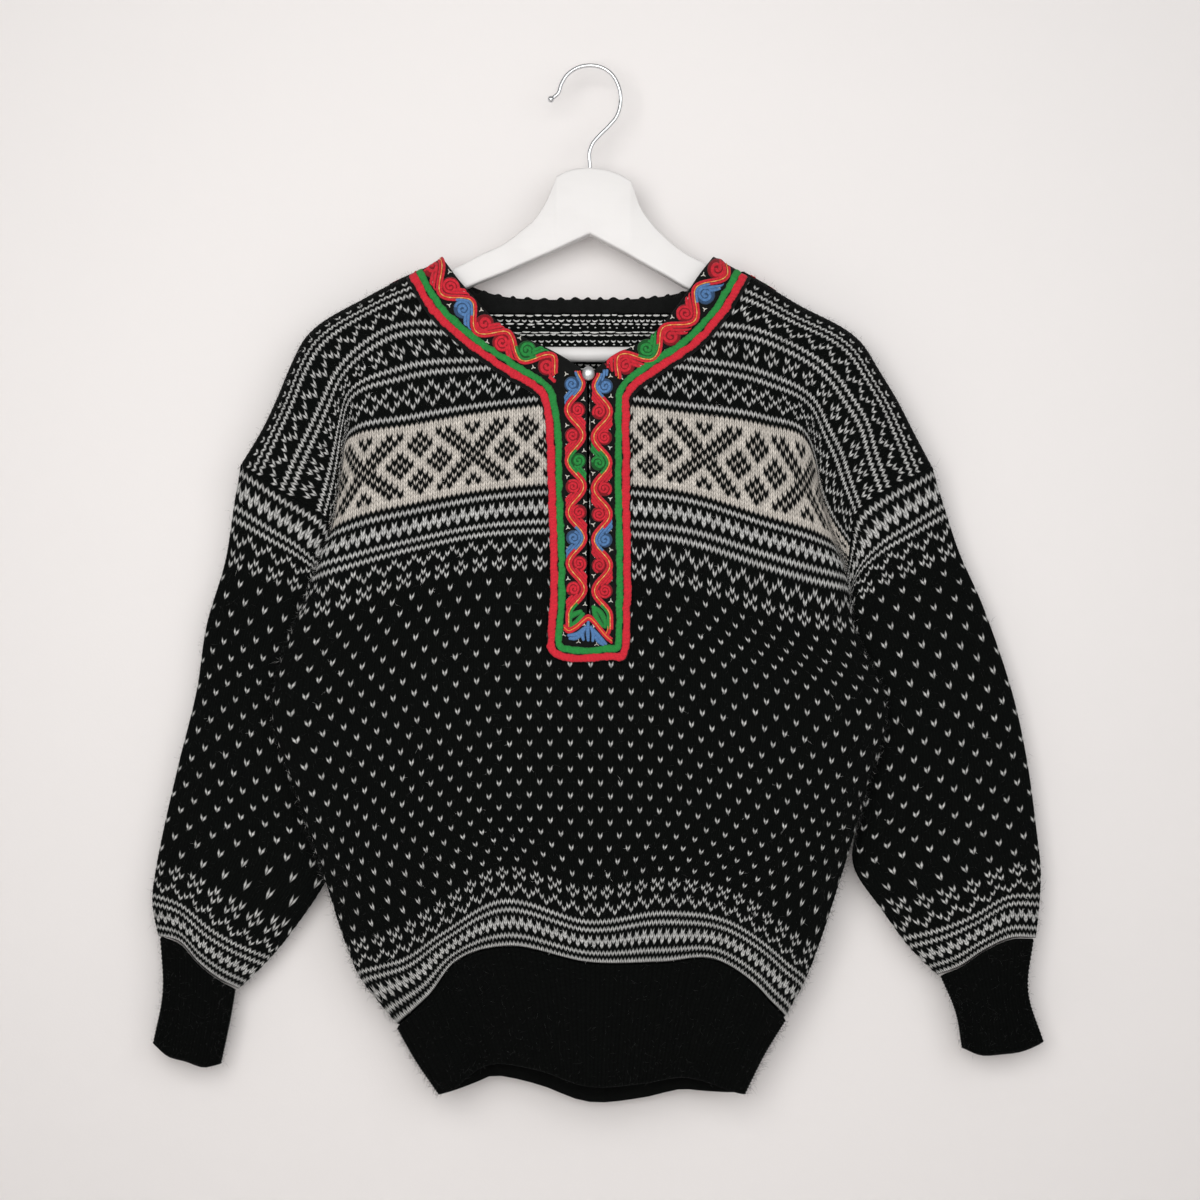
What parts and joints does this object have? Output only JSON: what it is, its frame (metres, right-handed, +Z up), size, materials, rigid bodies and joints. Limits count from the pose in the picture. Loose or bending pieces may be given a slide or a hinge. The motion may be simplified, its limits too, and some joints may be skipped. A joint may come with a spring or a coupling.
{
  "type": "nordic yoke sweater on a hanger",
  "caption": "Black and white stranded wool pullover with a felt neck band, wool edgings, ribbed hem and cuffs, hanging flat on a white wooden hanger.",
  "frame": {"origin": "the point under the top of the hanger's hook where the hook rests on its peg", "axes": "+Z up, +X to the viewer's right across the shoulders, the front of the pullover faces -Y"},
  "size_m": [0.7479, 0.0692, 0.8689],
  "materials": {
    "knit": "stranded wool knitting, black with off-white figures, matt and slightly fuzzy",
    "rib": "black wool rib, matt",
    "felt": "black wool felt, embroidered with coloured wool",
    "red_wool": "twisted red wool edging",
    "green_wool": "twisted green wool edging",
    "pewter": "cast pewter, darkened in the hollows",
    "painted_wood": "white satin paint",
    "steel_wire": "bright zinc plated wire"
  },
  "bodies": {
    "root": {"front": "knit", "back": "knit", "sleeve_left": "knit", "sleeve_right": "knit", "hem_rib": "rib", "cuff_left": "rib", "cuff_right": "rib", "neck_band": "felt", "neck_band_back": "felt", "neck_facing": "felt", "edging_red": "red_wool", "edging_red_back": "red_wool", "edging_green": "green_wool", "edging_green_back": "green_wool", "button": "pewter", "hanger": "painted_wood", "trouser_bar": "painted_wood", "hook": "steel_wire"}
  },
  "joints": []
}
